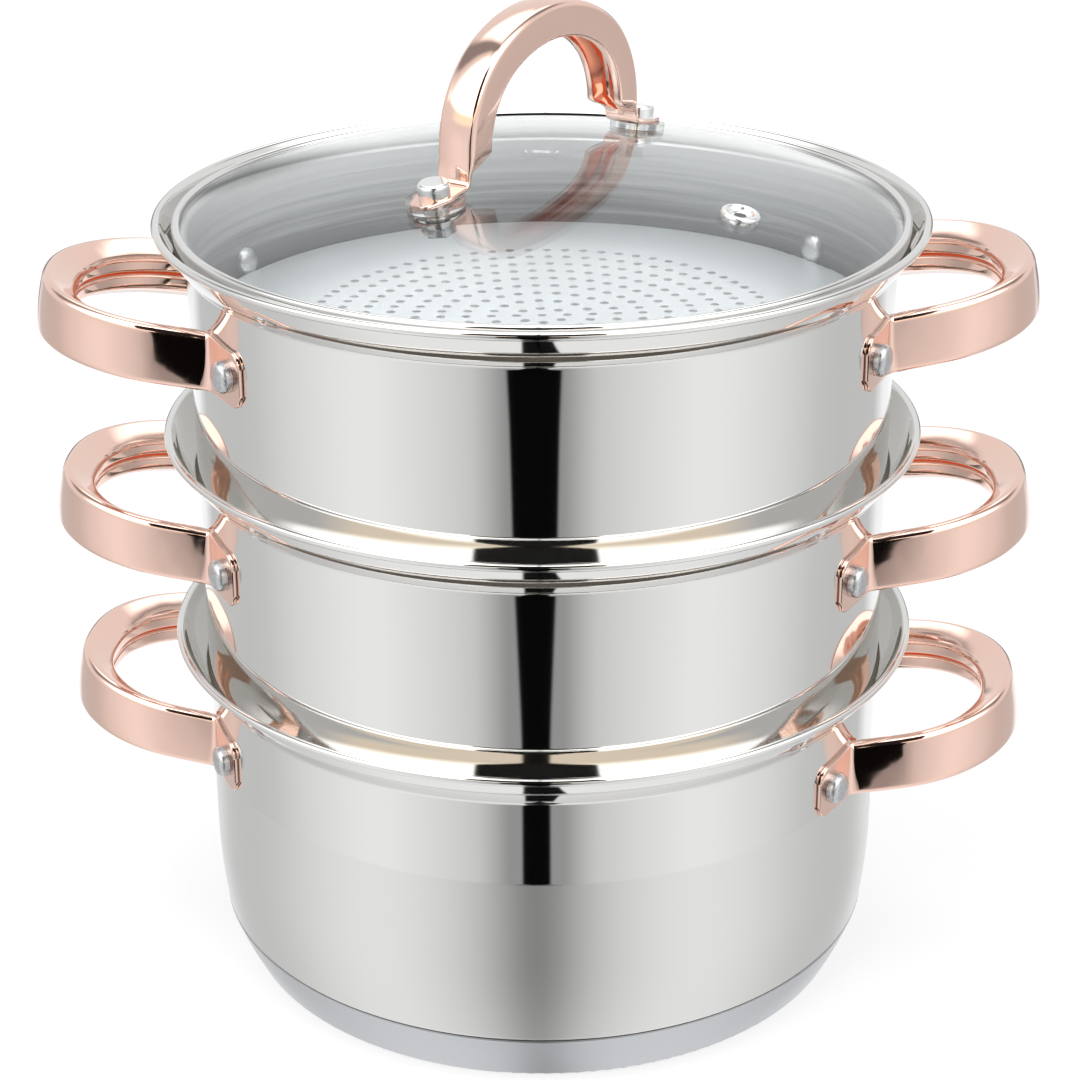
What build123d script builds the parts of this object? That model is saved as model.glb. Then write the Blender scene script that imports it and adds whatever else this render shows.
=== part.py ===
from build123d import *
from math import asin, atan, atan2, cos, degrees, pi, radians, sin, sqrt, tan
import os

os.makedirs("parts", exist_ok=True)

# Stack: a base pot, two steamer tiers and a lid, on one vertical axis.
# The origin is the middle of the base's underside, +Z is up and +X points out of the pot's right handle.
body_radius = 110.6
sheet = 0.8
pot_height = 115.4
tier_pitch = 68.2
rest_gap = 0.3
overrun = 20.0

# Each tier stands slightly turned on the one below, as the photograph shows it
lower_angle = 3.7
upper_angle = 9.3
lid_angle = 60.6
vent_angle = -31.4

# Flared neck and rolled lip, the same on the pot and on both steamers
neck_depth = 13.2
neck_bend = 4.0
lip_flare = 9.9
lip_bead = 1.3

# Base of the pot: drawn floor, aluminium core and pressed cap
cap_sheet = 0.6
cap_side_draw = 7.5
cap_foot_bend = 1.5
cap_side_bend = 80.0
cap_side_bulge = 0.5
belly_draw = 1.9
seam_height = 17.0
seam_groove = 0.5
belly_bend = 200.0
belly_height = 32.3
joggle_bend = 1.0
joggle_height = 0.7
floor_height = 6.0
floor_inset = 9.7
floor_bend = 9.0
core_height = 12.0

# Skirt of a steamer, which nests in the neck below it
nest_gap = 0.5
skirt_length = 11.0
skirt_bend = 1.0

# Perforated steaming plate
plate_depth = 36.5
plate_sheet = 0.8
plate_flange = 8.0
plate_bend = 3.0
plate_fit = 0.1
hole_radius = 1.5
hole_pitch = 6.3
hole_ring_pitch = 8.0
hole_rings = 9

# Side handles: a hollow pressed loop, tilted upwards, with a seam on its inner side
handle_drop = 33.0
handle_tilt = 9.0
handle_pivot_inset = 10.6
handle_reach = 46.6
handle_corner_radius = 42.0
handle_crown_half = 3.5
handle_crown_radius = 75.0
handle_height = 18.6
handle_inner_height = 12.2
handle_depth = 11.0
handle_edge = 1.8
handle_sheet = 1.2
handle_seam = 1.0
handle_wall_gap = 3.0

# Riveted tabs at the ends of the side handles
tab_gap = 0.1
tab_bend = 2.5
tab_root = 10.0
tab_overlap = 1.5
tab_height = 17.4
tab_fall = 3.5
tab_reach = 7.6
tab_corner = 4.2

# Rivets
shank_radius = 2.4
shank_fit = 0.1
head_radius = 5.0
head_height = 3.8
head_edge = 0.5
inner_head_radius = 5.2
inner_head_height = 2.4

# Lid: glass dome, steel band, and what is bolted through the glass
dome_radius = 340.0
glass_thickness = 3.5
band_overhang = 3.8
band_sheet = 0.6
band_bend = 0.9
band_fit = 0.1
band_lip = 2.6
band_skirt_gap = 0.6
band_skirt_length = 7.5

# Arch handle of the lid
arch_leg = 2.95
arch_corner_radius = 36.0
arch_crown_half = 9.5
arch_crown_radius = 55.0
arch_width = 13.2
arch_depth = 11.5
arch_edge = 1.8
arch_lip = 2.6
arch_sheet = 1.2
arch_end_gap = 5.0
arch_overlap = 3.0
foot_offset = 8.5
foot_bend = 2.0
foot_reach = 9.0
foot_tip_width = 7.0
foot_corner = 1.6

# Lid fasteners
pad_radius = 8.8
pad_thickness = 2.0
bolt_head_radius = 4.9
bolt_head_height = 4.0
bolt_head_edge = 0.5
bolt_shank_radius = 2.5
bolt_fit = 0.15
thread_fit = 0.05
washer_radius = 7.0
washer_thickness = 1.5
nut_across_flats = 9.0
nut_height = 5.5
nut_wall = 1.5

# Steam vent
vent_radius = 73.0
vent_flange_radius = 6.0
vent_flange_thickness = 1.3
vent_flange_edge = 0.6
vent_tube_radius = 3.6
vent_bore_radius = 1.8
vent_tube_end = 1.2
retainer_radius = 5.6
retainer_thickness = 1.2

# Worked out from the sizes above
inner_radius = body_radius - sheet
lip_radius = body_radius + lip_flare
seam_radius = body_radius - belly_draw
cap_foot_radius = seam_radius - cap_side_draw
floor_corner_radius = seam_radius - floor_inset
flare_slope = (lip_radius - lip_bead - body_radius) / (neck_depth - lip_bead)
flare_angle = atan(flare_slope)
skirt_radius = inner_radius - nest_gap
lower_top = pot_height + tier_pitch
upper_top = lower_top + tier_pitch
band_radius = body_radius + band_overhang
glass_edge_radius = band_radius - band_sheet - band_fit
handle_half_width = handle_corner_radius + handle_crown_half
tab_radius = body_radius + tab_gap + handle_sheet
bend_side = handle_half_width + tab_bend
bend_center = (sqrt((tab_radius + tab_bend) ** 2 - bend_side**2), bend_side)
bend_angle = degrees(atan2(bend_center[1], bend_center[0]))
rivet_angle = bend_angle + degrees(tab_root / body_radius)
arch_half_span = arch_corner_radius + arch_crown_half
foot_radius = arch_half_span + foot_offset


def seat_height(top, radius):
    """Height at which an edge of this radius rests, with its gap, in the flared neck under a lip."""
    clear_radius = body_radius - (sheet + rest_gap) / cos(flare_angle)
    return top - neck_depth + (radius - clear_radius) / flare_slope


band_floor = seat_height(upper_top, band_radius)
glass_edge_height = band_floor + band_sheet + band_fit
dome_center_height = glass_edge_height - sqrt((dome_radius - glass_thickness) ** 2 - glass_edge_radius**2)


def turned_plane(turn, height):
    """Horizontal plane at a height, with its X axis turned about the stack's axis."""
    across = (cos(radians(turn)), sin(radians(turn)), 0)
    return Plane(origin=(0, 0, height), x_dir=across, z_dir=(0, 0, 1))


def upright_plane(turn):
    """Vertical plane through the stack's axis, with its Y axis upwards."""
    across = Vector(cos(radians(turn)), sin(radians(turn)), 0)
    return Plane(origin=(0, 0, 0), x_dir=across, z_dir=across.cross(Vector(0, 0, 1)))


def radial_plane(turn, height, radius):
    """Plane square to a radius of the stack, facing outwards, with its Y axis upwards."""
    outward = Vector(cos(radians(turn)), sin(radians(turn)), 0)
    origin = outward * radius + Vector(0, 0, height)
    return Plane(origin=origin, x_dir=Vector(0, 0, 1).cross(outward), z_dir=outward)


def glass_plane(turn, radius):
    """Plane that touches the top of the glass at a radius, facing outwards, with its X axis downhill."""
    across = Vector(cos(radians(turn)), sin(radians(turn)), 0)
    lean = asin(radius / dome_radius)
    normal = across * sin(lean) + Vector(0, 0, cos(lean))
    downhill = across * cos(lean) - Vector(0, 0, sin(lean))
    return Plane(origin=normal * dome_radius + Vector(0, 0, dome_center_height), x_dir=downhill, z_dir=normal)


def finish(piece, name):
    """Names a finished sub-part and writes its file."""
    piece.part.label = name
    export_step(piece.part, "parts/" + name + ".step")


def lip_center(top):
    return (lip_radius - lip_bead, top - lip_bead)


def pot_outline():
    """Outer line of the pot's sheet, from the middle of its floor up to its lip."""
    cap_lean = atan2(seam_radius - cap_foot_radius, seam_height)
    joggle_radius = seam_radius - cap_sheet / cos(cap_lean) - seam_groove
    cap_top = seam_height + cap_sheet * sin(cap_lean)
    return FilletPolyline(
        (0, floor_height),
        (floor_corner_radius, floor_height),
        (joggle_radius, cap_top),
        (seam_radius, cap_top + joggle_height),
        (body_radius, belly_height),
        (body_radius, pot_height - neck_depth),
        lip_center(pot_height),
        radius=(floor_bend, joggle_bend, joggle_bend, belly_bend, neck_bend),
    )


def cap_outline():
    """Outer line of the base cap, from its middle out and up to the seam."""
    middle = (cap_foot_radius + seam_radius) / 2 + cap_side_bulge
    return FilletPolyline(
        (0, 0),
        (cap_foot_radius, 0),
        (middle, seam_height / 2),
        (seam_radius, seam_height),
        radius=(cap_foot_bend, cap_side_bend),
    )


# Base pot body: one drawn sheet with its flared neck and rolled lip
with BuildPart() as pot_shell:
    with BuildSketch(Plane.XZ):
        with BuildLine():
            pot_outline()
            offset(amount=sheet, side=Side.LEFT)
        make_face()
        with Locations(lip_center(pot_height)):
            Circle(lip_bead)
    revolve(axis=Axis.Z)
    for side in (0, 180):
        for angle in (side - rivet_angle, side + rivet_angle):
            with BuildSketch(radial_plane(angle, pot_height - handle_drop, body_radius - overrun)):
                Circle(shank_radius + shank_fit)
            extrude(amount=2 * overrun, mode=Mode.SUBTRACT)
finish(pot_shell, "pot_shell")

# Base cap: a thin pressed cup whose edge closes on the body at the seam
with BuildPart() as base_cap:
    with BuildSketch(Plane.XZ):
        with BuildLine():
            cap_outline()
            offset(amount=cap_sheet, side=Side.LEFT)
        make_face()
    revolve(axis=Axis.Z)
finish(base_cap, "base_cap")

# Aluminium core: it fills the cap up to the pot's drawn floor
with BuildPart() as base_core:
    with BuildSketch(Plane.XZ):
        with BuildLine():
            side_line = cap_outline()
            Polyline(side_line @ 1, (0, seam_height), (0, 0))
        make_face()
    revolve(axis=Axis.Z)
    add(base_cap.part, mode=Mode.SUBTRACT)
    with BuildSketch(Plane.XZ):
        with BuildLine():
            body_line = pot_outline()
            Polyline(body_line @ 1, (0, pot_height), (0, floor_height))
        make_face()
    revolve(axis=Axis.Z, mode=Mode.SUBTRACT)
    split(bisect_by=Plane.XY.offset(core_height), keep=Keep.BOTTOM)
finish(base_core, "base_core")


def steamer_wall(top, turn, name):
    """Ring wall of a steamer tier: nesting skirt, straight wall, flared neck and rolled lip."""
    rest = top - tier_pitch
    step_top = seat_height(rest, body_radius)
    step_bottom = step_top - (body_radius - skirt_radius) / flare_slope
    with BuildPart() as wall:
        with BuildSketch(Plane.XZ):
            with BuildLine():
                FilletPolyline(
                    (skirt_radius, rest - neck_depth - skirt_length),
                    (skirt_radius, step_bottom),
                    (body_radius, step_top),
                    (body_radius, top - neck_depth),
                    lip_center(top),
                    radius=(skirt_bend, skirt_bend, neck_bend),
                )
                offset(amount=sheet, side=Side.LEFT)
            make_face()
            with Locations(lip_center(top)):
                Circle(lip_bead)
        revolve(axis=Axis.Z)
        for side in (turn, turn + 180):
            for angle in (side - rivet_angle, side + rivet_angle):
                with BuildSketch(radial_plane(angle, top - handle_drop, body_radius - overrun)):
                    Circle(shank_radius + shank_fit)
                extrude(amount=2 * overrun, mode=Mode.SUBTRACT)
    finish(wall, name)


def steamer_floor(top, turn, name):
    """Perforated plate with a turned-down flange that is fixed inside the wall."""
    plate_top = top - plate_depth
    plate_radius = inner_radius - plate_fit
    with BuildPart() as plate:
        with BuildSketch(Plane.XZ):
            with BuildLine():
                FilletPolyline(
                    (0, plate_top),
                    (plate_radius, plate_top),
                    (plate_radius, plate_top - plate_flange),
                    radius=plate_bend,
                )
                offset(amount=plate_sheet, side=Side.RIGHT)
            make_face()
        revolve(axis=Axis.Z)
        with BuildSketch(turned_plane(turn, plate_top)):
            Circle(hole_radius)
            for ring in range(1, hole_rings + 1):
                ring_radius = ring * hole_ring_pitch
                with PolarLocations(ring_radius, round(2 * pi * ring_radius / hole_pitch)):
                    Circle(hole_radius)
        extrude(amount=-2 * plate_sheet, mode=Mode.SUBTRACT)
    finish(plate, name)


def side_handle(top, turn, name):
    """Hollow loop handle with two riveted tabs, pointing out at an angle about the stack's axis."""
    middle_height = top - handle_drop
    level = turned_plane(turn, middle_height)
    pivot_radius = body_radius - handle_pivot_inset
    tilted = Plane(level.location * Location((pivot_radius, 0, 0), (0, -handle_tilt, 0)))
    tip_angle = rivet_angle + degrees(tab_reach / body_radius)
    root_rise = tab_root * tan(radians(tab_fall))
    tip_drop = tab_reach * tan(radians(tab_fall))
    arm_rise = root_rise + overrun * tan(radians(handle_tilt)) / sin(radians(rivet_angle))

    with BuildPart() as tab:
        with BuildSketch(level):
            with BuildLine():
                Line((bend_center[0] + tab_overlap, handle_half_width), (bend_center[0], handle_half_width))
                CenterArc(bend_center, tab_bend, -90, bend_angle - 90)
                CenterArc((0, 0), tab_radius, bend_angle, tip_angle - bend_angle)
                offset(amount=handle_sheet, side=Side.LEFT)
            make_face()
        extrude(amount=handle_height, both=True)
        with BuildSketch(radial_plane(turn + rivet_angle, middle_height, body_radius - overrun)):
            with BuildLine():
                Polyline(
                    (-tab_root - overrun, tab_height / 2 + arm_rise),
                    (-tab_root, tab_height / 2 + root_rise),
                    (tab_reach, tab_height / 2 - tip_drop),
                    (tab_reach, -tab_height / 2 - tip_drop),
                    (-tab_root, -tab_height / 2 + root_rise),
                    (-tab_root - overrun, -tab_height / 2 + arm_rise),
                    close=True,
                )
            make_face()
            fillet(vertices().group_by(Axis.X)[-1], tab_corner)
        extrude(amount=2 * overrun, mode=Mode.INTERSECT)
        with BuildSketch(radial_plane(turn + rivet_angle, middle_height, body_radius - overrun)):
            Circle(shank_radius + shank_fit)
        extrude(amount=2 * overrun, mode=Mode.SUBTRACT)

    with BuildPart() as handle:
        corner_lean = asin(
            (handle_half_width - handle_corner_radius) / (handle_crown_radius - handle_corner_radius)
        )
        crown_center = handle_pivot_inset + handle_reach - handle_crown_radius
        corner_place = crown_center + (handle_crown_radius - handle_corner_radius) * cos(corner_lean)
        with BuildLine(tilted) as loop:
            arm = Line((0, -handle_half_width), (corner_place, -handle_half_width))
            corner = JernArc(arm @ 1, arm % 1, handle_corner_radius, 90 - degrees(corner_lean))
            crown = JernArc(corner @ 1, corner % 1, handle_crown_radius, 2 * degrees(corner_lean))
            far_corner = JernArc(crown @ 1, crown % 1, handle_corner_radius, 90 - degrees(corner_lean))
            Line(far_corner @ 1, (0, handle_half_width))
        start = tilted.from_local_coords((0, -handle_half_width, 0))
        with BuildSketch(Plane(origin=start, x_dir=tilted.y_dir, z_dir=tilted.x_dir)):
            with BuildLine():
                Polyline(
                    (0, -handle_height / 2),
                    (handle_depth, -handle_inner_height / 2),
                    (handle_depth, handle_inner_height / 2),
                    (0, handle_height / 2),
                    close=True,
                )
            make_face()
            fillet(vertices(), handle_edge)
            offset(amount=-handle_sheet, mode=Mode.SUBTRACT)
            with Locations((handle_depth - handle_sheet / 2, 0)):
                Rectangle(2 * handle_sheet, handle_seam, mode=Mode.SUBTRACT)
        sweep(path=loop.wires()[0])
        with BuildSketch(level):
            Circle(body_radius + handle_wall_gap)
        extrude(amount=overrun, both=True, mode=Mode.SUBTRACT)
        add(tab.part)
        mirror(tab.part, about=upright_plane(turn))
    finish(handle, name)


def side_rivets(top, turn, name):
    """Four rivets that hold the two handles of a tier: flat heads outside, domed heads inside."""
    with BuildPart() as rivets:
        for side in (turn, turn + 180):
            for angle in (side - rivet_angle, side + rivet_angle):
                inner_seat = sqrt(inner_radius**2 - inner_head_radius**2)
                along = radial_plane(angle, top - handle_drop, 0)
                with BuildSketch(Plane(origin=along.origin, x_dir=along.z_dir, z_dir=along.x_dir)):
                    with BuildLine():
                        Polyline(
                            (inner_seat - inner_head_height, 0),
                            (tab_radius + head_height, 0),
                            (tab_radius + head_height, head_radius - head_edge),
                            (tab_radius + head_height - head_edge, head_radius),
                            (tab_radius, head_radius),
                            (tab_radius, shank_radius),
                            (inner_seat, shank_radius),
                            (inner_seat, inner_head_radius),
                        )
                        TangentArc(
                            (inner_seat - inner_head_height, 0),
                            (inner_seat, inner_head_radius),
                            tangent=(0, 1),
                        )
                    make_face()
                revolve(axis=Axis(along.origin, along.z_dir))
    finish(rivets, name)


side_handle(pot_height, 180, "pot_handle_left")
side_handle(pot_height, 0, "pot_handle_right")
side_rivets(pot_height, 0, "pot_rivets")

for tier, top, turn in (("lower_steamer", lower_top, lower_angle), ("upper_steamer", upper_top, upper_angle)):
    steamer_wall(top, turn, tier + "_wall")
    steamer_floor(top, turn, tier + "_floor")
    side_handle(top, turn + 180, tier + "_handle_left")
    side_handle(top, turn, tier + "_handle_right")
    side_rivets(top, turn, tier + "_rivets")


def glass_height(radius, depth):
    """Height of the sphere that lies a depth below the top of the glass."""
    return dome_center_height + sqrt((dome_radius - depth) ** 2 - radius**2)


foot_planes = [glass_plane(lid_angle, foot_radius), glass_plane(lid_angle + 180, foot_radius)]
vent_plane = glass_plane(vent_angle, vent_radius)

# Glass dome, drilled square to its surface for the handle's bolts and for the vent
with BuildPart() as lid_glass:
    with BuildSketch(Plane.XZ):
        with BuildLine():
            edge_top = (glass_edge_radius, glass_height(glass_edge_radius, 0))
            edge_bottom = (glass_edge_radius, glass_height(glass_edge_radius, glass_thickness))
            Line(edge_bottom, edge_top)
            TangentArc((0, glass_height(0, 0)), edge_top, tangent=(1, 0))
            Line((0, glass_height(0, 0)), (0, glass_height(0, glass_thickness)))
            TangentArc((0, glass_height(0, glass_thickness)), edge_bottom, tangent=(1, 0))
        make_face()
    revolve(axis=Axis.Z)
    for plane in foot_planes:
        with BuildSketch(plane):
            Circle(bolt_shank_radius + bolt_fit)
        extrude(amount=overrun, both=True, mode=Mode.SUBTRACT)
    with BuildSketch(vent_plane):
        Circle(vent_tube_radius + bolt_fit)
    extrude(amount=overrun, both=True, mode=Mode.SUBTRACT)
finish(lid_glass, "lid_glass")

# Rim band: a rolled channel round the glass, with a skirt that centres the lid in the neck
with BuildPart() as lid_rim_band:
    with BuildSketch(Plane.XZ):
        with BuildLine():
            lip_end = glass_edge_radius - band_lip
            band_inside = glass_edge_radius + band_fit
            skirt_inside = inner_radius - band_skirt_gap - band_sheet
            ledge = band_floor + band_sheet
            FilletPolyline(
                (lip_end, glass_height(lip_end, 0) + band_fit),
                (band_inside, glass_height(band_inside, 0) + band_fit),
                (band_inside, ledge),
                (skirt_inside, ledge),
                (skirt_inside, ledge - band_skirt_length),
                radius=(band_bend - band_sheet, band_bend - band_sheet, band_bend),
            )
            offset(amount=band_sheet, side=Side.LEFT)
        make_face()
    revolve(axis=Axis.Z)
finish(lid_rim_band, "lid_rim_band")

# Arch handle: a pressed channel bent into an arch, whose outer face runs on into two flat feet
arch_plane = upright_plane(lid_angle)
foot_lean = asin(foot_radius / dome_radius)
foot_top = dome_radius + pad_thickness + arch_sheet
foot_center = (foot_top * sin(foot_lean), dome_center_height + foot_top * cos(foot_lean))
foot_tip = (foot_center[0] + overrun, foot_center[1] - overrun * tan(foot_lean))
foot_corner_height = foot_center[1] + (foot_center[0] - arch_half_span) * tan(foot_lean)
flange_end = foot_corner_height + arch_end_gap
arch_lean = asin((arch_half_span - arch_corner_radius) / (arch_crown_radius - arch_corner_radius))
crown_drop = (arch_crown_radius - arch_corner_radius) * cos(arch_lean)
spring_height = flange_end + arch_leg
apex_height = spring_height - crown_drop + arch_crown_radius
with BuildPart() as foot:
    with BuildSketch(arch_plane):
        with BuildLine():
            FilletPolyline(
                foot_tip,
                (arch_half_span, foot_corner_height),
                (arch_half_span, flange_end + arch_overlap),
                radius=foot_bend,
            )
            offset(amount=arch_sheet, side=Side.LEFT)
        make_face()
    extrude(amount=arch_width / 2, both=True)
    with BuildSketch(turned_plane(lid_angle, 0)):
        with BuildLine():
            Polyline(
                (0, -arch_width / 2),
                (foot_center[0], -arch_width / 2),
                (foot_center[0] + foot_reach, -foot_tip_width / 2),
                (foot_center[0] + foot_reach, foot_tip_width / 2),
                (foot_center[0], arch_width / 2),
                (0, arch_width / 2),
                close=True,
            )
        make_face()
        fillet(vertices().group_by(Axis.X)[-1], foot_corner)
    extrude(amount=apex_height, mode=Mode.INTERSECT)
    with BuildSketch(foot_planes[0]):
        Circle(bolt_shank_radius + bolt_fit)
    extrude(amount=overrun, mode=Mode.SUBTRACT)

with BuildPart() as lid_handle:
    with BuildLine(arch_plane) as arch:
        leg = Line((arch_half_span, flange_end), (arch_half_span, spring_height))
        shoulder = JernArc(leg @ 1, leg % 1, arch_corner_radius, 90 - degrees(arch_lean))
        crown = JernArc(shoulder @ 1, shoulder % 1, arch_crown_radius, 2 * degrees(arch_lean))
        far_shoulder = JernArc(crown @ 1, crown % 1, arch_corner_radius, 90 - degrees(arch_lean))
        Line(far_shoulder @ 1, (-arch_half_span, flange_end))
    leg_start = arch_plane.from_local_coords((arch_half_span, flange_end, 0))
    with BuildSketch(Plane(origin=leg_start, x_dir=-arch_plane.x_dir, z_dir=(0, 0, 1))):
        with Locations((arch_depth / 2, 0)):
            RectangleRounded(arch_depth, arch_width, arch_edge)
            offset(amount=-arch_sheet, mode=Mode.SUBTRACT)
        with Locations((arch_depth - arch_sheet / 2, 0)):
            Rectangle(2 * arch_sheet, arch_width - 2 * arch_lip, mode=Mode.SUBTRACT)
    sweep(path=arch.wires()[0])
    add(foot.part)
    mirror(foot.part, about=upright_plane(lid_angle + 90))
finish(lid_handle, "lid_handle")

# Clear cushion washers between the handle's feet and the glass
with BuildPart() as lid_handle_pads:
    for plane in foot_planes:
        with BuildSketch(plane):
            Circle(pad_radius)
            Circle(bolt_shank_radius + bolt_fit, mode=Mode.SUBTRACT)
        extrude(amount=pad_thickness)
finish(lid_handle_pads, "lid_handle_pads")

# Flat-headed bolts through the feet, the pads and the glass
washer_top = -glass_thickness - band_fit
washer_bottom = washer_top - washer_thickness
with BuildPart() as lid_handle_bolts:
    for plane in foot_planes:
        with BuildSketch(plane.offset(pad_thickness + arch_sheet)):
            Circle(bolt_head_radius)
        extrude(amount=bolt_head_height)
        chamfer(edges(Select.LAST).sort_by(Axis(plane.origin, plane.z_dir))[-1], bolt_head_edge)
        with BuildSketch(plane.offset(washer_bottom - nut_height + nut_wall)):
            Circle(bolt_shank_radius)
        extrude(amount=pad_thickness + arch_sheet - washer_bottom + nut_height - nut_wall)
finish(lid_handle_bolts, "lid_handle_bolts")

# Soft washers under the glass
with BuildPart() as lid_inner_washers:
    for plane in foot_planes:
        with BuildSketch(plane.offset(washer_bottom)):
            Circle(washer_radius)
            Circle(bolt_shank_radius + bolt_fit, mode=Mode.SUBTRACT)
        extrude(amount=washer_thickness)
finish(lid_inner_washers, "lid_inner_washers")

# Cap nuts under the washers, closed at the bottom
with BuildPart() as lid_handle_nuts:
    for plane in foot_planes:
        with BuildSketch(plane.offset(washer_bottom - nut_height)):
            RegularPolygon(nut_across_flats / 2, 6, major_radius=False)
        extrude(amount=nut_height)
        with BuildSketch(plane.offset(washer_bottom)):
            Circle(bolt_shank_radius + thread_fit)
        extrude(amount=nut_wall - nut_height, mode=Mode.SUBTRACT)
finish(lid_handle_nuts, "lid_handle_nuts")

# Steam vent: a flanged tube through the glass
with BuildPart() as vent_eyelet:
    with BuildSketch(vent_plane):
        Circle(vent_flange_radius)
    extrude(amount=vent_flange_thickness)
    fillet(edges().sort_by(Axis(vent_plane.origin, vent_plane.z_dir))[-1], vent_flange_edge)
    with BuildSketch(vent_plane.offset(washer_top - retainer_thickness - vent_tube_end)):
        Circle(vent_tube_radius)
    extrude(amount=retainer_thickness + vent_tube_end - washer_top)
    with BuildSketch(vent_plane):
        Circle(vent_bore_radius)
    extrude(amount=overrun, both=True, mode=Mode.SUBTRACT)
finish(vent_eyelet, "vent_eyelet")

# Ring that holds the vent's tube from under the glass
with BuildPart() as vent_retainer:
    with BuildSketch(vent_plane.offset(washer_top)):
        Circle(retainer_radius)
        Circle(vent_tube_radius + thread_fit, mode=Mode.SUBTRACT)
    extrude(amount=-retainer_thickness)
finish(vent_retainer, "vent_retainer")
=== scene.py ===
from math import asin, atan2, cos, pi, radians, sin, sqrt, tan

import bmesh
import bpy
from mathutils import Matrix, Vector


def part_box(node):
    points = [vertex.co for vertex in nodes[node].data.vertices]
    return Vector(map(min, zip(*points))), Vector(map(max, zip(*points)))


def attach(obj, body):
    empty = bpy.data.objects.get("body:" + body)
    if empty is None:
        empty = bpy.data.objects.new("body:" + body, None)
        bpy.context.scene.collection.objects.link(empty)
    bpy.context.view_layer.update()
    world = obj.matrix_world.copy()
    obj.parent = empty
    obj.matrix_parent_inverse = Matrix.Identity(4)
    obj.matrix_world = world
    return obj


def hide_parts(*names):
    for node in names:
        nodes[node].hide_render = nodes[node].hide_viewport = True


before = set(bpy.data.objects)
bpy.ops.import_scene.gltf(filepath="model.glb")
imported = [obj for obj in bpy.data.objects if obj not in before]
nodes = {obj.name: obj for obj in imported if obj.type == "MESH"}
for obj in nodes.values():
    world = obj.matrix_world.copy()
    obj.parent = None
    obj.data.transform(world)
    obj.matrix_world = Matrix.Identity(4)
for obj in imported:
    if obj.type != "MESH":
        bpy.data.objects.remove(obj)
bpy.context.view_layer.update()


# Base pot body. One deep-drawn sheet of stainless steel: mirror-polished outside from the flared neck
# down to the satin band that is ground round its lower half, with a rolled lip at the top.
mirror_steel = (0.76, 0.752, 0.738)
# Painted glow of the steel where its reflections have gone to and fro many times: an emission colour, not
# a lamp.
painted_glow_steel = (0.13, 0.12, 0.105)
deep_bounces = 3.5
haze_spread = 0.02
haze_patches = 22.0
haze_scuffs = 900.0
mirror_roughness = 0.035
satin_line_height = 0.0745
satin_line_blend = 0.0012
satin_roughness = 0.27
satin_pitch = 0.00035
satin_reach = 0.08
satin_depth = 0.00002
satin_strength = 0.35
body_radius = 0.1106
shell_sheet = 0.0008
neck_depth = 0.0132
neck_crease = 0.002
shoulder_out = 0.0052
shoulder_rise = 0.0052
shoulder_bend = 0.032
lip_bead = 0.0013
belly_height = 0.0323
belly_bend = 0.19
seam_radius = 0.1087
joggle_radius = 0.10754
joggle_bottom = 0.01724
joggle_top = 0.01794
joggle_bend = 0.001
floor_height = 0.006
floor_corner = 0.099
floor_bend = 0.009
bend_step = 0.12


def new_material(name):
    """A material with an empty tree that holds only its shader and output."""
    material = bpy.data.materials.new(name)
    material.use_nodes = True
    tree = material.node_tree
    return material, tree, tree.nodes["Principled BSDF"]


def add_node(tree, kind, **settings):
    """A node with its settings. A setting whose name starts with in_ sets the input of that number."""
    node = tree.nodes.new(kind)
    for key, value in settings.items():
        if key.startswith("in_"):
            node.inputs[int(key[3:])].default_value = value
        else:
            setattr(node, key, value)
    return node


def calc(tree, operation, *values):
    """A math node fed with numbers or sockets; gives its output socket."""
    node = tree.nodes.new("ShaderNodeMath")
    node.operation = operation
    for socket, value in zip(node.inputs, values):
        if isinstance(value, bpy.types.NodeSocket):
            tree.links.new(value, socket)
        else:
            socket.default_value = value
    return node.outputs[0]


def grade(tree, value, low, high, start=0.0, end=1.0):
    """A smooth step of a value from low to high, as a share from start to end."""
    node = tree.nodes.new("ShaderNodeMapRange")
    node.interpolation_type = "SMOOTHSTEP"
    for socket, number in zip(node.inputs[1:5], (low, high, start, end)):
        socket.default_value = number
    tree.links.new(value, node.inputs[0])
    return node.outputs[0]


def blend_colours(tree, share, first, second):
    """A mix of two colours, each a tuple or a socket."""
    node = add_node(tree, "ShaderNodeMix", data_type="RGBA")
    tree.links.new(share, node.inputs["Factor"])
    # A Mix node has a pair of sockets for each kind of data: 6 and 7 take the colours, and 2 gives one.
    for socket, colour in ((node.inputs[6], first), (node.inputs[7], second)):
        if isinstance(colour, tuple):
            socket.default_value = (*colour, 1)
        else:
            tree.links.new(colour, socket)
    return node.outputs[2]


def noise(tree, place, scale, detail=3.0, roughness=0.55):
    """A noise texture's value at a place."""
    node = add_node(tree, "ShaderNodeTexNoise", in_2=scale, in_3=detail, in_4=roughness)
    tree.links.new(place, node.inputs["Vector"])
    return node.outputs[0]


def new_group(name, output, **inputs):
    """A shader node group with number inputs and one number output."""
    group = bpy.data.node_groups.new(name, "ShaderNodeTree")
    for socket, value in inputs.items():
        made = group.interface.new_socket(socket, in_out="INPUT", socket_type="NodeSocketFloat")
        made.default_value = value
    group.interface.new_socket(output, in_out="OUTPUT", socket_type="NodeSocketFloat")
    return group, group.nodes.new("NodeGroupInput").outputs, group.nodes.new("NodeGroupOutput").inputs[0]


def place_group(tree, group, **values):
    """A group's output in a material, with the material's own values for the named inputs."""
    node = tree.nodes.new("ShaderNodeGroup")
    node.node_tree = group
    for key, value in values.items():
        node.inputs[key].default_value = value
    return node.outputs[0]


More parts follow.
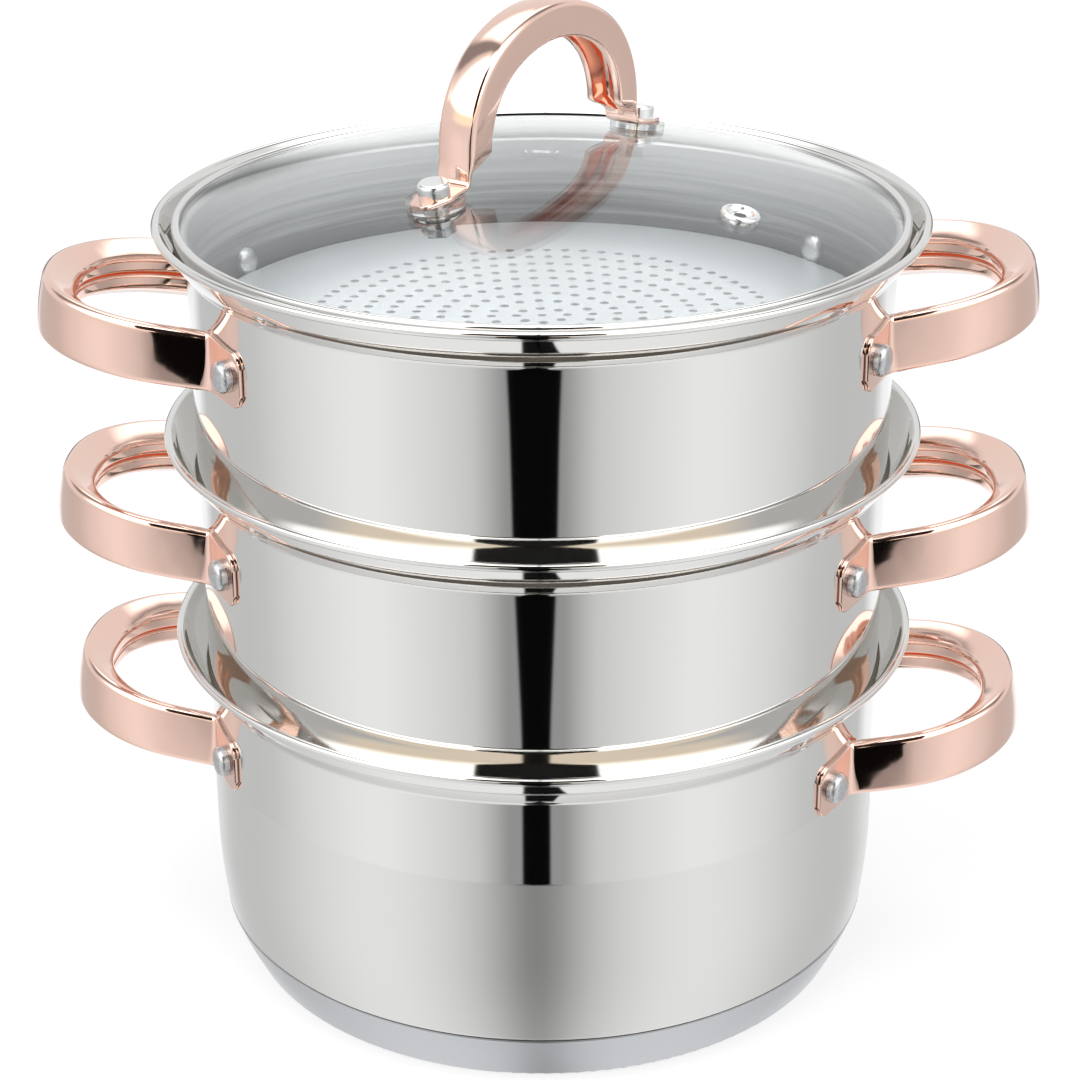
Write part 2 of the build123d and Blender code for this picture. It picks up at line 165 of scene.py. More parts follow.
def make_polish_haze():
    """Faint wiping haze of a polished sheet: slow patches times fine scuffs, added to a roughness."""
    group, given, result = new_group("polish_haze", "Roughness", Base=0.04, Spread=0.02)
    place = add_node(group, "ShaderNodeTexCoord").outputs["Object"]
    patches = noise(group, place, haze_patches)
    scuffs = noise(group, place, haze_scuffs, 2.0, 0.6)
    spread = calc(group, "MULTIPLY", calc(group, "MULTIPLY", patches, scuffs), given["Spread"])
    group.links.new(calc(group, "ADD", spread, given["Base"]), result)
    return group


def make_level_lines():
    """Fine level scratches round the stack's axis, as a height: noise that is stretched flat."""
    group, given, result = new_group("level_lines", "Height", Pitch=0.0004, Reach=0.03)
    place = add_node(group, "ShaderNodeSeparateXYZ")
    group.links.new(add_node(group, "ShaderNodeTexCoord").outputs["Object"], place.inputs[0])
    x, y, z = place.outputs
    joined = add_node(group, "ShaderNodeCombineXYZ")
    turn = calc(group, "ARCTAN2", y, x)
    group.links.new(calc(group, "DIVIDE", turn, given["Reach"]), joined.inputs["X"])
    group.links.new(calc(group, "DIVIDE", z, given["Pitch"]), joined.inputs["Z"])
    group.links.new(noise(group, joined.outputs[0], 1.0), result)
    return group


polish_haze = make_polish_haze()
level_lines = make_level_lines()


def painted_deep_glow(tree, shader, colour):
    """Painted glow: emission that stands in for the light a mirror facing mirrors still gives where a
    reflection has gone to and fro many times.
    """
    depth = add_node(tree, "ShaderNodeLightPath").outputs["Glossy Depth"]
    share = calc(tree, "GREATER_THAN", depth, deep_bounces)
    tree.links.new(blend_colours(tree, share, (0.0, 0.0, 0.0), colour), shader.inputs["Emission Color"])
    shader.inputs["Emission Strength"].default_value = 1


def make_steel(name, colour, roughness, satin_below=None):
    """Stainless steel with its haze; below a height, if one is given, a satin band with level lines."""
    material, tree, shader = new_material(name)
    shader.inputs["Base Color"].default_value = (*colour, 1)
    shader.inputs["Metallic"].default_value = 1
    painted_deep_glow(tree, shader, painted_glow_steel)
    haze = place_group(tree, polish_haze, Base=roughness, Spread=haze_spread)
    if satin_below is None:
        tree.links.new(haze, shader.inputs["Roughness"])
        return material
    place = add_node(tree, "ShaderNodeSeparateXYZ")
    tree.links.new(add_node(tree, "ShaderNodeTexCoord").outputs["Object"], place.inputs[0])
    low = satin_below - satin_line_blend / 2
    satin = grade(tree, place.outputs["Z"], low, low + satin_line_blend, 1.0, 0.0)
    rough = calc(tree, "MULTIPLY_ADD", satin, satin_roughness, haze)
    tree.links.new(rough, shader.inputs["Roughness"])
    bump = add_node(tree, "ShaderNodeBump", in_1=satin_depth)
    tree.links.new(calc(tree, "MULTIPLY", satin, satin_strength), bump.inputs["Strength"])
    lines = place_group(tree, level_lines, Pitch=satin_pitch, Reach=satin_reach)
    tree.links.new(lines, bump.inputs["Height"])
    tree.links.new(bump.outputs["Normal"], shader.inputs["Normal"])
    return material


def finish_node(name, material):
    """Gives a CAD node its material."""
    slots = nodes[name].data.materials
    slots.clear()
    slots.append(material)


def finish_piece(name, mesh, material, body, slot, *replaced, sharp=40):
    """Turns a built mesh into a piece with its material, riding on its body in place of its CAD nodes."""
    bmesh.ops.remove_doubles(mesh, verts=mesh.verts, dist=1e-6)
    bmesh.ops.recalc_face_normals(mesh, faces=mesh.faces)
    data = bpy.data.meshes.new(name)
    mesh.to_mesh(data)
    mesh.free()
    data.shade_smooth()
    data.set_sharp_from_angle(angle=radians(sharp))
    data.materials.append(material)
    piece = bpy.data.objects.new(name, data)
    bpy.context.scene.collection.objects.link(piece)
    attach(piece, body)
    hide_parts(*replaced)
    return piece


def arc(center, radius, start, end, steps):
    """Points on an arc, each with the direction that points away from its centre."""
    for k in range(steps + 1):
        turn = start + (end - start) * k / steps
        out = Vector((cos(turn), sin(turn)))
        yield Vector(center) + radius * out, out


def round_corners(corners):
    """A line through corners of (across, up, radius), with each inner corner rounded to its radius."""
    line = [Vector(corners[0][:2])]
    for before, corner, after in zip(corners, corners[1:], corners[2:]):
        place, radius = Vector(corner[:2]), corner[2]
        back = (Vector(before[:2]) - place).normalized()
        ahead = (Vector(after[:2]) - place).normalized()
        half = back.angle(ahead) / 2
        center = place + (back + ahead).normalized() * radius / sin(half)
        start = place + back * radius / tan(half) - center
        end = place + ahead * radius / tan(half) - center
        first = atan2(start.y, start.x)
        turn = atan2(start.x * end.y - start.y * end.x, start.dot(end))
        steps = 4 + int(abs(turn) / bend_step)
        line += [point for point, _ in arc(center, radius, first, first + turn, steps)]
    return line + [Vector(corners[-1][:2])]


def beside(line, distance):
    """The same line moved sideways, to the left of its run."""
    moved = []
    for i, point in enumerate(line):
        ahead = (line[min(i + 1, len(line) - 1)] - line[max(i - 1, 0)]).normalized()
        moved.append(point + distance * Vector((-ahead.y, ahead.x)))
    return moved


def spin_outline(mesh, outline, origin=Vector(), axis=Vector((0, 0, 1)), steps=192):
    """Turns an outline of (radius, height) about an axis, with its turn and run kept as a map."""
    across = axis.orthogonal().normalized()
    over = axis.cross(across)
    sides = mesh.loops.layers.uv.verify()
    rings = []
    for radius, height in outline:
        middle = origin + axis * height
        turns = [2 * pi * k / steps for k in range(steps)]
        rings.append([mesh.verts.new(middle + radius * (cos(t) * across + sin(t) * over)) for t in turns])
    for i, (ring, after) in enumerate(zip(rings, rings[1:])):
        for k in range(steps):
            j = (k + 1) % steps
            face = mesh.faces.new((ring[k], ring[j], after[j], after[k]))
            for corner, (turn, run) in zip(face.loops, ((k, i), (k + 1, i), (k + 1, i + 1), (k, i + 1))):
                corner[sides].uv = (turn / steps, run / len(rings))


def necked_shell(lower_corners, top, lip_radius):
    """Outline of a sheet shell: the corners given for its lower part, then the neck and the rolled lip.
    It ends where it starts, on the inner side of the first corner."""
    bead = Vector((lip_radius - lip_bead, top - lip_bead))
    neck = Vector((body_radius, top - neck_depth))
    shoulder = neck + Vector((shoulder_out, shoulder_rise))
    reach = bead - shoulder
    lean = atan2(reach.y, reach.x) + asin((lip_bead - shell_sheet) / reach.length)
    run = Vector((cos(lean), sin(lean)))
    join = reach.dot(run) - sqrt(lip_bead**2 - (lip_bead - shell_sheet) ** 2)
    outer = round_corners(
        lower_corners + [(*neck, neck_crease), (*shoulder, shoulder_bend), tuple(shoulder + join * run)]
    )
    end = outer[-1] - bead
    first = atan2(end.y, end.x) % (2 * pi)
    roll = [point for point, _ in arc(bead, lip_bead, first, lean + pi / 2 + 2 * pi, 22)]
    return outer[:-1] + roll + beside(outer[:-1], shell_sheet)[::-1]


pot_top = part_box("pot_shell")[1].z
lip_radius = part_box("pot_shell")[1].x
pot_corners = [
    (0, floor_height, 0),
    (floor_corner, floor_height, floor_bend),
    (joggle_radius, joggle_bottom, joggle_bend),
    (seam_radius, joggle_top, joggle_bend),
    (body_radius, belly_height, belly_bend),
]
pot_steel = make_steel("pot_steel", mirror_steel, mirror_roughness, satin_line_height)
pot_mesh = bmesh.new()
spin_outline(pot_mesh, necked_shell(pot_corners, pot_top, lip_radius))
finish_piece("pot_shell", pot_mesh, pot_steel, "pot", "polished_steel", "pot_shell")

# Base cap and core. A thick disc of aluminium under the pot spreads the heat, and a pressed cap of
# stainless steel encloses it. Both are bonded on, and the cap's edge is the seam low on the wall.
seam_height = 0.017
cap_colour = (0.59, 0.60, 0.62)
cap_roughness = 0.07

cap_steel = make_steel("cap_steel", cap_colour, cap_roughness, seam_height)
finish_node("base_cap", cap_steel)
finish_node("base_core", cap_steel)

# Side handles. Each is a strip of steel pressed into a hollow loop with a seam on its inner side, plated
# rose gold. The outer face runs on past the ends of the loop and bends out into two tabs for the rivets.
copper = (0.885, 0.62, 0.525)
# Painted glow of the plating where its reflections have gone to and fro many times: an emission colour,
# not a lamp.
painted_glow_copper = (0.46, 0.27, 0.19)
plating_roughness = 0.06
plating_haze = 0.06
ripple_scale = 75.0
ripple_detail = 1.5
ripple_strength = 0.3
ripple_depth = 0.0005
strip_sheet = 0.0012
loop_reach = 0.1572
loop_pivot = 0.100
loop_tilt = radians(9)
loop_arm_bend = 0.157
loop_corner = 0.042
loop_crown = 0.075
loop_half_width = 0.0455
loop_half_height = 0.0093
loop_inner_half = 0.0061
loop_depth = 0.011
loop_edge = 0.0024
loop_lip = 0.0026
loop_curl = 0.0012
loop_bulge = 0.0004
loop_slot = 0.0003
loop_wall_gap = 0.003
tab_face = 0.1119
tab_bend = 0.0025
tab_reach = 0.0076
tab_corner = 0.0042
tab_edge = 0.0006
tab_half_height = 0.0087
tab_fall = radians(3.5)
handle_drop = 0.033
rivet_turn = radians(30.0)


def half_face(half, edge, bulge, turn=pi / 2):
    """The outer side of half a section: its slightly crowned face and the round of its edge.
    Each point is (in from the face, up from the middle)."""
    face = [(bulge * (k / 5) ** 2, (half - edge) * k / 5) for k in range(5)]
    turns = [turn * k / 6 for k in range(7)]
    return face + [(bulge + edge - edge * cos(a), half - edge + edge * sin(a)) for a in turns]


def half_plate(half, edge, bulge, sheet):
    """Outline of half a flat strip's section, with as many points as half a channel."""
    return half_face(half, edge, bulge) + [(sheet, (half - edge / 4) * (1 - k / 14)) for k in range(15)]


def half_channel(half, inner_half, depth, edge, lip, curl, slot, bulge, sheet):
    """Outline of half a hollow pressed section, round from its face to the slot and back inside."""
    lean = atan2(half - inner_half, depth)
    points = half_face(half, edge, bulge, pi / 2 + lean)
    for k in range(5):
        a = lean + (pi / 2 - lean) * k / 4
        points.append((depth - lip + lip * sin(a), inner_half - lip + lip * cos(a)))
    points += [(depth - curl + curl * cos(a), slot + curl - curl * sin(a)) for a in (0, 0.5, 1.0, pi / 2)]
    points += [(depth - curl, slot + sheet), (depth - 1.2 * sheet, slot + 1.5 * sheet)]
    points += [(depth - 1.5 * sheet, inner_half - 1.5 * sheet), (sheet * 1.5, half - 1.2 * sheet)]
    return points + [(sheet, half - 2 * sheet), (sheet, 0)]


def both_halves(half_outline):
    """A closed section from its upper half."""
    return half_outline + [(u, -v) for u, v in reversed(half_outline[1:-1])]


def between(share, first, second):
    """A section between two others of as many points."""
    return [(u + (s - u) * share, v + (t - v) * share) for (u, v), (s, t) in zip(first, second)]


def skin(mesh, rows):
    """Joins rows of points into a tube and closes its two ends."""
    made = [[mesh.verts.new(point) for point in row] for row in rows]
    for row, after in zip(made, made[1:]):
        for i in range(len(row)):
            j = (i + 1) % len(row)
            mesh.faces.new((row[i], row[j], after[j], after[i]))
    mesh.faces.new(made[0])
    mesh.faces.new(made[-1])


def make_copper():
    """Rose gold plating: bright, with a faint ripple of the polishing and fine haze."""
    material, tree, shader = new_material("copper_plate")
    shader.inputs["Base Color"].default_value = (*copper, 1)
    shader.inputs["Metallic"].default_value = 1
    painted_deep_glow(tree, shader, painted_glow_copper)
    haze = place_group(tree, polish_haze, Base=plating_roughness, Spread=plating_haze)
    tree.links.new(haze, shader.inputs["Roughness"])
    place = add_node(tree, "ShaderNodeTexCoord").outputs["Object"]
    bump = add_node(tree, "ShaderNodeBump", in_0=ripple_strength, in_1=ripple_depth)
    tree.links.new(noise(tree, place, ripple_scale, ripple_detail), bump.inputs["Height"])
    tree.links.new(bump.outputs["Normal"], shader.inputs["Normal"])
    return material


def side_handle_half():
    """Half of a handle, from the middle of its crown to the tip of its tab, on the side where Y is up.
    Each station is (place on the outer face, way the face looks, way across it, section, end cut)."""
    lean = asin((loop_half_width - loop_corner) / (loop_crown - loop_corner))
    crown_center = Vector((loop_reach - loop_pivot - loop_crown, 0))
    corner_center = crown_center + (loop_crown - loop_corner) * Vector((cos(lean), sin(lean)))
    wall_reach = body_radius + loop_wall_gap
    arm_end = (sqrt(wall_reach**2 - loop_half_width**2) - loop_pivot) / cos(loop_tilt)
    arm_lean = asin((corner_center.x - arm_end) / (loop_arm_bend - loop_corner))
    arm_start = pi / 2 - arm_lean
    arm_center = corner_center - (loop_arm_bend - loop_corner) * Vector((cos(arm_start), sin(arm_start)))
    line = list(arc(crown_center, loop_crown, 0, lean, 4))
    line += list(arc(corner_center, loop_corner, lean, arm_start, 26))[1:]
    line += list(arc(arm_center, loop_arm_bend, arm_start, pi / 2, 5))[1:]

    channel = both_halves(half_channel(
        loop_half_height, loop_inner_half, loop_depth, loop_edge, loop_lip, loop_curl, loop_slot,
        loop_bulge, strip_sheet,
    ))
    tilted_up = Vector((-sin(loop_tilt), 0, cos(loop_tilt)))
    stations = []
    for place, face in line:
        spot = Vector((loop_pivot + place.x * cos(loop_tilt), place.y, place.x * sin(loop_tilt)))
        look = Vector((face.x * cos(loop_tilt), face.y, face.x * sin(loop_tilt)))
        stations.append((spot, look, tilted_up, channel, 0))
    end = stations[-1][0]
    cut = sqrt(wall_reach**2 - (end.y - loop_depth) ** 2) - sqrt(wall_reach**2 - end.y**2)
    stations[-1] = (*stations[-1][:4], cut / loop_depth)

    side = end.y + tab_bend
    middle = sqrt((tab_face + tab_bend) ** 2 - side**2)
    bend_turn = atan2(side, middle)
    root = (rivet_turn - bend_turn) * body_radius
    strip = [(Vector((end.x, end.y)), Vector((0, 1)))]
    strip += [(place, -out) for place, out in arc((middle, side), tab_bend, -pi / 2, bend_turn - pi, 9)]
    strip += list(arc((0, 0), tab_face, bend_turn, bend_turn + (root + tab_reach) / body_radius, 24))[1:]
    for i, (place, face) in enumerate(strip):
        along = max(0, atan2(place.y, place.x) - bend_turn) * body_radius
        share = min(1, along / root)
        cornered = max(0, tab_corner - (root + tab_reach - along))
        half = loop_half_height + (tab_half_height - loop_half_height) * share
        half -= tab_corner - sqrt(max(0, tab_corner**2 - cornered**2))
        bent = min(1, i / 10)
        edge = loop_edge + (tab_edge - loop_edge) * bent
        fall = (root - along) * sin(tab_fall) if along > 0 else end.z
        upright = tilted_up.lerp(Vector((0, 0, 1)), bent).normalized()
        section = both_halves(half_plate(half, edge, loop_bulge * (1 - bent), strip_sheet))
        stations.append((Vector((*place, fall)), Vector((*face, 0)), upright, section, 0))
    return stations


def make_side_handle(name, middle_height, turn, body):
    """One loop handle, with both tabs, at its height and its angle about the stack's axis."""
    half = side_handle_half()
    back = Vector((1, 0, 0))
    mesh = bmesh.new()
    spin = Matrix.Rotation(turn, 3, "Z")
    rows = []
    for side, stations in ((-1, half[::-1]), (1, half[1:])):
        mirror = Vector((1, side, 1))
        for place, face, upright, section, cut in stations:
            row = [place * mirror - u * face * mirror + v * upright + u * cut * back for u, v in section]
            rows.append([spin @ point + Vector((0, 0, middle_height)) for point in row])
    skin(mesh, rows)
    return finish_piece(name, mesh, copper_plate, body, "copper_plating", name)


copper_plate = make_copper()
tier_shells = {
    "pot": "pot_shell",
    "lower_steamer": "lower_steamer_wall",
    "upper_steamer": "upper_steamer_wall",
}
tier_tops = {tier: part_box(node)[1].z for tier, node in tier_shells.items()}
tier_turns = {"pot": 0.0, "lower_steamer": radians(3.7), "upper_steamer": radians(9.3)}
for tier, top in tier_tops.items():
    make_side_handle(tier + "_handle_right", top - handle_drop, tier_turns[tier], tier)
    make_side_handle(tier + "_handle_left", top - handle_drop, tier_turns[tier] + pi, tier)

# Rivets. Each is a turned steel stud: a flat head with a rounded, radially brushed shoulder outside,
# a shank through tab and wall, and a low dome that is closed inside. Two hold each handle.
head_radius = 0.005
head_height = 0.0038
head_round = 0.0022
head_crown = 0.0004
inner_dome_radius = 0.0052
inner_dome_height = 0.0032
inner_dome_seat = body_radius - 0.0009
rivet_colour = (0.66, 0.67, 0.685)
rivet_roughness = 0.34
rivet_streaks = (34.0, 5.0, 1.0)
rivet_streak_strength = 0.35


def make_turned_steel(name, colour, roughness, streaks, strength):
    """Steel that shows the streaks of its turning, run along the map of a spun outline."""
    material, tree, shader = new_material(name)
    shader.inputs["Metallic"].default_value = 1
    painted_deep_glow(tree, shader, painted_glow_steel)
    where = add_node(tree, "ShaderNodeUVMap").outputs[0]
    scaled = add_node(tree, "ShaderNodeVectorMath", operation="MULTIPLY")
    scaled.inputs[1].default_value = streaks
    tree.links.new(where, scaled.inputs[0])
    grain = noise(tree, scaled.outputs[0], 1.0, 4.0, 0.65)
    darker = tuple(0.72 * part for part in colour)
    streaked = blend_colours(tree, grade(tree, grain, 0.35, 0.65), darker, colour)
    tree.links.new(streaked, shader.inputs["Base Color"])
    tree.links.new(calc(tree, "MULTIPLY_ADD", grain, 0.2, roughness - 0.1), shader.inputs["Roughness"])
    bump = add_node(tree, "ShaderNodeBump", in_0=strength, in_1=0.0001)
    tree.links.new(grain, bump.inputs["Height"])
    tree.links.new(bump.outputs["Normal"], shader.inputs["Normal"])
    return material


rivet_steel = make_turned_steel(
    "rivet_steel", rivet_colour, rivet_roughness, rivet_streaks, rivet_streak_strength
)
shoulder_turns = [pi / 2 * k / 6 for k in range(7)]
head_line = [(0, head_height), (head_radius * 0.3, head_height - head_crown * 0.3)]
head_line += [
    (head_radius - head_round + head_round * sin(a), head_height - head_crown - head_round * (1 - cos(a)))
    for a in shoulder_turns
]
head_line += [(head_radius, 0), (0, 0)]
dome_line = [(0, 0)] + [(inner_dome_radius * cos(a), inner_dome_height * sin(a)) for a in shoulder_turns]
for tier, top in tier_tops.items():
    mesh = bmesh.new()
    for turn in (tier_turns[tier], tier_turns[tier] + pi):
        for angle in (turn - rivet_turn, turn + rivet_turn):
            out = Vector((cos(angle), sin(angle), 0))
            level = Vector((0, 0, top - handle_drop))
            spin_outline(mesh, head_line, out * tab_face + level, out, 48)
            spin_outline(mesh, dome_line, out * inner_dome_seat + level, -out, 32)
    finish_piece(tier + "_rivets", mesh, rivet_steel, tier, "rivet_metal", tier + "_rivets")

# Steamer walls. Each is a drawn ring of stainless steel with the pot's neck and lip, mirror-polished
# outside and left duller inside. It is stepped in below, so that it nests in the neck under it.
tier_pitch = 0.0682
plate_depth = 0.0365
skirt_radius = 0.1093
skirt_length = 0.011
skirt_bend = 0.001
step_top_rise = 0.0019
step_bottom_rise = 0.0001
inside_roughness = 0.3
# Painted shade inside the walls: the inner side's colour is dark at the plate and fades to a lighter grey
# above it, with a streaky edge.
painted_shade_low = (0.08, 0.084, 0.088)
inside_above_painted_shade = (0.54, 0.545, 0.55)
painted_shade_fade = 0.029
inside_under_plate = 0.012
streak_pitch = 0.0022
streak_reach = 1.1
streak_share = 0.55


def dull_inside_with_painted_shade(material):
    """The wall's inner side, told by its radius, is left dull from the press, and painted shade darkens it
    towards the plate.
    """
    tree = material.node_tree
    shader = tree.nodes["Principled BSDF"]
    place = add_node(tree, "ShaderNodeSeparateXYZ")
    tree.links.new(add_node(tree, "ShaderNodeTexCoord").outputs["Object"], place.inputs[0])
    x, y, z = place.outputs
    reach = calc(tree, "MULTIPLY_ADD", x, x, calc(tree, "MULTIPLY", y, y))
    reach = calc(tree, "SQRT", reach)
    inside = grade(tree, reach, body_radius - shell_sheet * 0.8, body_radius - shell_sheet * 0.2, 1.0, 0.0)
    plate_top = tier_tops["upper_steamer"] - plate_depth
    inside = calc(tree, "MULTIPLY", inside, calc(tree, "GREATER_THAN", z, plate_top - inside_under_plate))
    # Painted shade: streaks ragged its edge, and it grades from dark at the plate to lighter above.
    streaks = place_group(tree, level_lines, Pitch=streak_pitch, Reach=streak_reach)
    centred = calc(tree, "SUBTRACT", streaks, 0.5)
    shifted = calc(tree, "MULTIPLY_ADD", centred, painted_shade_fade * streak_share * 2, z)
    level = grade(tree, shifted, plate_top, plate_top + painted_shade_fade)
    colour = blend_colours(tree, inside, mirror_steel, blend_colours(tree, level, painted_shade_low, inside_above_painted_shade))
    tree.links.new(colour, shader.inputs["Base Color"])
    haze = shader.inputs["Roughness"].links[0].from_socket
    tree.links.new(calc(tree, "MULTIPLY_ADD", inside, inside_roughness, haze), shader.inputs["Roughness"])


wall_steel = make_steel("wall_steel", mirror_steel, mirror_roughness)
dull_inside_with_painted_shade(wall_steel)
for tier in ("lower_steamer", "upper_steamer"):
    under = tier_tops[tier] - tier_pitch - neck_depth
    wall_corners = [
        (skirt_radius, under - skirt_length, 0),
        (skirt_radius, under + step_bottom_rise, skirt_bend),
        (body_radius, under + step_top_rise, skirt_bend),
    ]
    outline = necked_shell(wall_corners, tier_tops[tier], lip_radius)
    wall_mesh = bmesh.new()
    spin_outline(wall_mesh, outline + outline[:1])
    finish_piece(tier + "_wall", wall_mesh, wall_steel, tier, "polished_steel", tier + "_wall")

# Steaming plates. Each is a disc of stainless steel with rings of punched holes, matt from pickling. Its
# turned-down flange is welded inside the wall.
plate_tint = (0.93, 0.955, 0.99)
plate_roughness = 0.4
plate_metal = 0.45

plate_steel = make_steel("plate_steel", plate_tint, plate_roughness)
plate_steel.node_tree.nodes["Principled BSDF"].inputs["Metallic"].default_value = plate_metal
finish_node("lower_steamer_floor", plate_steel)
finish_node("upper_steamer_floor", plate_steel)

# Lid glass. A disc of clear glass is pressed to a shallow dome, drilled for the two bolts of the handle
# and for the steam vent, and then tempered.
glass_tint = (0.965, 0.985, 0.98)
glass_index = 1.5
dome_radius = 0.340
dome_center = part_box("lid_glass")[1].z - dome_radius


def make_clear(name, tint, roughness, index):
    """Glass or clear plastic of one tint, with its index of refraction."""
    material, tree, shader = new_material(name)
    shader.inputs["Base Color"].default_value = (*tint, 1)
    shader.inputs["Transmission Weight"].default_value = 1
    shader.inputs["Roughness"].default_value = roughness
    shader.inputs["IOR"].default_value = index
    return material


finish_node("lid_glass", make_clear("lid_glass", glass_tint, 0.0, glass_index))

# Lid band. A strip of polished stainless steel is rolled over the edge of the glass, and its skirt
# reaches down into the neck of the upper steamer and centres the lid there.
band_radius = 0.1144
band_roll = 0.0013
band_sheet = 0.0006
band_bend = 0.0009
band_skirt = 0.1092
band_under_glass = 0.0007
band_roll_sink = 0.0004
band_roll_start = radians(165)

band_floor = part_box("lid_glass")[0].z - band_under_glass
band_top = dome_center + sqrt(dome_radius**2 - (band_radius - 2 * band_roll) ** 2)
roll_center = Vector((band_radius - band_roll, band_top - band_roll_sink))
band_line = [point for point, _ in arc(roll_center, band_roll, band_roll_start, 0, 14)]
band_line += round_corners([
    (band_radius, roll_center.y, 0),
    (band_radius, band_floor, band_bend),
    (band_skirt, band_floor, band_bend),
    (band_skirt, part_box("lid_rim_band")[0].z, 0),
])[1:]
band_outline = band_line + beside(band_line, -band_sheet)[::-1]
mesh = bmesh.new()
spin_outline(mesh, band_outline + band_outline[:1])
finish_piece("lid_rim_band", mesh, wall_steel, "lid", "band_steel", "lid_rim_band")

# Lid handle. A channel pressed from rose gold plated steel is bent into an arch, open on its inner
# side. Its outer face runs on past the channel's ends and bends out into two feet on the glass.
lid_turn = radians(60.6)
foot_radius = 0.054
foot_reach = 0.009
foot_tip_half = 0.0035
foot_corner = 0.0016
foot_bend = 0.002
pad_thickness = 0.002
arch_half_span = 0.0455
arch_spring = 0.00795
arch_corner = 0.036
arch_crown = 0.055
arch_half_width = 0.0066
arch_depth = 0.0115
arch_edge = 0.0021
arch_bulge = 0.0005
arch_lip = 0.0012
arch_slot = 0.0040
arch_taper = (0.0022, 0.0085)
arch_waist = 0.0007
leg_step = 0.0008
foot_edge = 0.0006

foot_lean = asin(foot_radius / dome_radius)


def lid_arch_half():
    """Half of the arch, from the middle of its crown to the tip of its foot, in its own upright plane.
    Each station is (place on the outer face, way the face looks, section)."""
    foot_top = dome_radius + pad_thickness + strip_sheet
    foot_middle = Vector((foot_top * sin(foot_lean), dome_center + foot_top * cos(foot_lean)))
    downhill = Vector((cos(foot_lean), -sin(foot_lean)))
    corner = foot_middle - downhill * (foot_middle.x - arch_half_span) / cos(foot_lean)
    lean = asin((arch_half_span - arch_corner) / (arch_crown - arch_corner))
    shoulder_center = Vector((arch_half_span - arch_corner, corner.y + arch_spring))
    crown_center = Vector((0, shoulder_center.y - (arch_crown - arch_corner) * cos(lean)))
    line = list(arc(crown_center, arch_crown, pi / 2, pi / 2 - lean, 10))
    line += list(arc(shoulder_center, arch_corner, pi / 2 - lean, 0, 20))[1:]
    leg = [Vector((arch_half_span, shoulder_center.y - k * leg_step)) for k in range(1, 7)]
    tip = foot_middle + downhill * foot_reach
    foot = round_corners([(*leg[-1], 0), (*corner, foot_bend), (*tip, 0)])
    plate = foot[1:-1] + [foot[-2].lerp(tip, k / 14) for k in range(1, 15)]
    line += [(place, Vector((1, 0))) for place in leg]
    for before, place, after in zip([leg[-1]] + plate, plate, plate[1:] + plate[-1:]):
        run = (after - before).normalized()
        line.append((place, Vector((-run.y, run.x))))

    channel = half_channel(
        arch_half_width, arch_half_width, arch_depth, arch_edge, arch_lip, arch_lip / 4, arch_slot,
        arch_bulge, strip_sheet,
    )
    stations = []
    for place, face in line:
        out = (place - foot_middle).dot(downhill)
        half = arch_half_width - max(0, out) / foot_reach * (arch_half_width - foot_tip_half)
        cornered = max(0, out - foot_reach + foot_corner)
        half -= foot_corner - sqrt(max(0, foot_corner**2 - cornered**2))
        low, high = (corner.y + rise for rise in arch_taper)
        share = min(1, max(0, (high - place.y) / (high - low)))
        half -= arch_waist * max(0, 1 - abs(place.y - low) / arch_taper[1])
        edge = arch_edge + (foot_edge - arch_edge) * share
        plate = half_plate(half, edge, arch_bulge * (1 - share), strip_sheet)
        eased = share * share * (3 - 2 * share)
        stations.append((place, face, both_halves(between(eased, channel, plate))))
    return stations


half_arch = lid_arch_half()
across = Vector((cos(lid_turn), sin(lid_turn), 0))
along = Vector((-sin(lid_turn), cos(lid_turn), 0))
rows = []
for side, stations in ((-1, half_arch[::-1]), (1, half_arch[1:])):
    for place, face, section in stations:
        middle = across * place.x * side + Vector((0, 0, place.y))
        look = across * face.x * side + Vector((0, 0, face.y))
        rows.append([middle - u * look + v * along for u, v in section])
mesh = bmesh.new()
skin(mesh, rows)
finish_piece("lid_handle", mesh, copper_plate, "lid", "copper_plating", "lid_handle")

# Lid cushions. A clear soft washer lies between each foot and the glass, and another one under the
# glass, so that no metal touches it.
cushion_tint = (0.96, 0.98, 0.98)
cushion_roughness = 0.06
cushion_index = 1.41

clear_cushion = make_clear("clear_pad", cushion_tint, cushion_roughness, cushion_index)
finish_node("lid_handle_pads", clear_cushion)
finish_node("lid_inner_washers", clear_cushion)

# Lid bolts and nuts. A turned steel bolt with a flat round head goes through foot, washers and glass
# at each end of the arch, into a cap nut below.
bolt_colour = (0.86, 0.86, 0.86)
bolt_roughness = 0.14
bolt_head_radius = 0.0049
bolt_head_height = 0.0042
bolt_head_round = 0.0012
bolt_shank = 0.0025
bolt_length = 0.0120

bolt_steel = make_steel("bolt_steel", bolt_colour, bolt_roughness)
finish_node("lid_handle_nuts", bolt_steel)
bolt_line = [(0, bolt_head_height)] + [
    (bolt_head_radius - bolt_head_round * (1 - sin(a)), bolt_head_height - bolt_head_round * (1 - cos(a)))
    for a in shoulder_turns
]
bolt_line += [(bolt_head_radius, 0), (bolt_shank, 0), (bolt_shank, -bolt_length), (0, -bolt_length)]
mesh = bmesh.new()
for side in (-1, 1):
    out = (across * side * sin(foot_lean) + Vector((0, 0, cos(foot_lean)))).normalized()
    seat = Vector((0, 0, dome_center)) + out * (dome_radius + pad_thickness + strip_sheet)
    spin_outline(mesh, bolt_line, seat, out, 64)
finish_piece("lid_handle_bolts", mesh, bolt_steel, "lid", "bolt_steel", "lid_handle_bolts")

# Steam vent. A turned steel eyelet with a raised rim and a dished middle goes through the glass, and
# a ring is pressed on its tube below.
vent_colour = (0.86, 0.86, 0.86)
vent_roughness = 0.24
vent_turn = radians(-31.4)
vent_radius = 0.073
vent_bore = 0.0018
vent_tube = 0.0036
vent_flange = 0.006
vent_rim = 0.0013
vent_seat = 0.0004
vent_depth = 0.006

